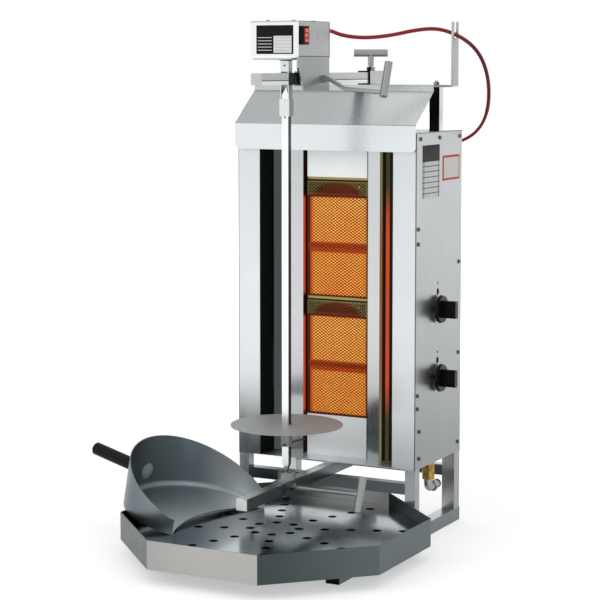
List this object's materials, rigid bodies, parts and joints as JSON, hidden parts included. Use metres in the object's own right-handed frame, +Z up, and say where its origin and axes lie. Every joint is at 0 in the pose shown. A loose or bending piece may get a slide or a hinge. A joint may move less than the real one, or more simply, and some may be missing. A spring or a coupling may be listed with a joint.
{
  "type": "gas doner kebab grill",
  "caption": "Upright gas grill with ceramic burners behind an upright turning spit, motor carriage on a clamped arm, drip tray and meat scoop.",
  "frame": {"origin": "bottom centre of the whole grill on its counter, motor cable left out", "axes": "+X to the viewer's right when facing the burners, +Y to the back, +Z up"},
  "size_m": [0.6724, 0.7377, 0.946],
  "materials": {
    "frame_steel": "satin stainless steel, softly reflective",
    "grey_plastic": "grey plastic",
    "cabinet_steel": "polished stainless steel",
    "side_steel": "fine brushed stainless steel",
    "mirror_steel": "mirror-polished stainless steel",
    "burner_steel": "heat-tinted dark metal",
    "glowing_ceramic": "glowing orange perforated ceramic",
    "mesh_steel": "heat-darkened expanded metal",
    "brass": "plain turned brass",
    "screw_steel": "bright screw steel",
    "label_plate": "blank plate, satin",
    "pale_plastic": "pale plastic",
    "box_steel": "brushed stainless steel",
    "motor_metal": "painted metal case",
    "black_plastic": "black heat-resistant plastic, slightly glossy",
    "switch_pink": "glossy red rocker with pale marks",
    "cable_red": "dark red rubber-like sheath",
    "tray_steel": "cool grey rolled stainless steel, satin",
    "scoop_steel": "cool grey stainless steel, satin"
  },
  "bodies": {
    "frame": {"base_rails": "frame_steel", "tube_plugs": "grey_plastic", "uprights": "frame_steel", "crossbars": "frame_steel", "lower_arm": "frame_steel", "bottom_panel": "cabinet_steel", "left_side_panel": "side_steel", "right_side_panel": "side_steel", "wing_panels": "cabinet_steel", "side_reflectors": "mirror_steel", "burner_covers": "mirror_steel", "burner_bodies": "burner_steel", "burner_plaques": "glowing_ceramic", "burner_meshes": "mesh_steel", "mixing_tubes": "burner_steel", "thermocouples": "brass", "gas_taps": "brass", "gas_pipes": "frame_steel", "inlet_nut": "brass", "inlet_elbow": "screw_steel", "rear_panel": "side_steel", "top_panel": "cabinet_steel", "panel_screws": "screw_steel", "name_plates": "label_plate", "hood": "cabinet_steel", "hood_posts": "frame_steel", "fork_strip": "frame_steel", "fixing_nuts": "screw_steel", "holder_tube": "frame_steel", "rear_gland": "grey_plastic", "motor_cable": "cable_red"},
    "arm": {"upper_arm": "frame_steel", "upper_arm_plug": "pale_plastic"},
    "arm_clamp": {"arm_clamp_screw": "frame_steel"},
    "motor_carriage": {"motor_box": "box_steel", "motor_box_lid": "box_steel", "carriage_plate": "box_steel", "upper_sleeve": "frame_steel", "gearmotor": "motor_metal", "switch_housing": "black_plastic", "motor_label": "label_plate", "box_gland": "grey_plastic"},
    "switch": {"switch_rocker": "switch_pink"},
    "upper_clamp": {"upper_clamp_screw": "frame_steel"},
    "spit": {"drive_shaft": "frame_steel", "skewer": "frame_steel", "meat_plate": "cabinet_steel", "plate_pin": "screw_steel"},
    "coupling": {"coupling_sleeve": "frame_steel"},
    "lower_carriage": {"lower_sleeve": "frame_steel", "spit_bearing": "frame_steel"},
    "lower_clamp": {"lower_clamp_screw": "frame_steel"},
    "drip_tray": {"tray": "tray_steel"},
    "insert": {"tray_insert": "tray_steel"},
    "scoop": {"scoop_pan": "scoop_steel", "scoop_handle": "black_plastic"},
    "lower_spindle": {"lower_tap_spindle": "brass"},
    "upper_spindle": {"upper_tap_spindle": "brass"},
    "lower_control": {"lower_knob": "black_plastic"},
    "upper_control": {"upper_knob": "black_plastic"}
  },
  "joints": [
    {"name": "carriage_slide", "type": "slide", "parent": "frame", "child": "motor_carriage", "axis": [0, 1, 0], "range_m": [-0.1, 0.045], "deforming": ["motor_cable"]},
    {"name": "lower_slide", "type": "slide", "parent": "frame", "child": "lower_carriage", "axis": [0, 1, 0], "range_m": [-0.1, 0.045]},
    {"name": "arm_slide", "type": "slide", "parent": "frame", "child": "arm", "axis": [0, 1, 0], "range_m": [-0.04, 0.03]},
    {"name": "arm_clamp_turn", "type": "hinge", "parent": "frame", "child": "arm_clamp", "pos_m": [0.11167, 0.23852, 0.8738], "axis": [0, 0, 1], "range_deg": [0, 360]},
    {"name": "upper_clamp_turn", "type": "hinge", "parent": "motor_carriage", "child": "upper_clamp", "pos_m": [0.18118, 0.01172, 0.8428], "axis": [1, 0, 0], "range_deg": [0, 360]},
    {"name": "lower_clamp_turn", "type": "hinge", "parent": "lower_carriage", "child": "lower_clamp", "pos_m": [0.16118, -0.04098, 0.118], "axis": [1, 0, 0], "range_deg": [0, 360]},
    {"name": "switch_rock", "type": "hinge", "parent": "motor_carriage", "child": "switch", "pos_m": [0.13367, -0.07108, 0.9185], "axis": [0, 1, 0], "range_deg": [-10, 10]},
    {"name": "spit_spin", "type": "hinge", "parent": "motor_carriage", "child": "spit", "pos_m": [0.08117, -0.04098, 0.5], "axis": [0, 0, 1], "continuous": true},
    {"name": "coupling_lift", "type": "slide", "parent": "spit", "child": "coupling", "axis": [0, 0, 1], "range_m": [0, 0.055]},
    {"name": "tray_slide", "type": "slide", "parent": "frame", "child": "drip_tray", "axis": [0, -1, 0], "range_m": [0, 0.1]},
    {"name": "insert_lift", "type": "slide", "parent": "drip_tray", "child": "insert", "axis": [0, 0, 1], "range_m": [0, 0.025]},
    {"name": "scoop_lift", "type": "slide", "parent": "insert", "child": "scoop", "axis": [0, 0, 1], "range_m": [0, 0.12]},
    {"name": "lower_tap_push", "type": "slide", "parent": "frame", "child": "lower_spindle", "axis": [-1, 0, 0], "range_m": [0, 0.004], "stiffness_N_per_m": 2000, "springref_m": -0.003},
    {"name": "upper_tap_push", "type": "slide", "parent": "frame", "child": "upper_spindle", "axis": [-1, 0, 0], "range_m": [0, 0.004], "stiffness_N_per_m": 2000, "springref_m": -0.003},
    {"name": "lower_knob_turn", "type": "hinge", "parent": "lower_spindle", "child": "lower_control", "pos_m": [0.27117, 0.21002, 0.291], "axis": [1, 0, 0], "range_deg": [0, 180]},
    {"name": "upper_knob_turn", "type": "hinge", "parent": "upper_spindle", "child": "upper_control", "pos_m": [0.27117, 0.21002, 0.419], "axis": [1, 0, 0], "range_deg": [0, 180]}
  ],
  "couplings": [
    {"joint": "lower_slide", "follows": "carriage_slide", "ratio": 1}
  ]
}
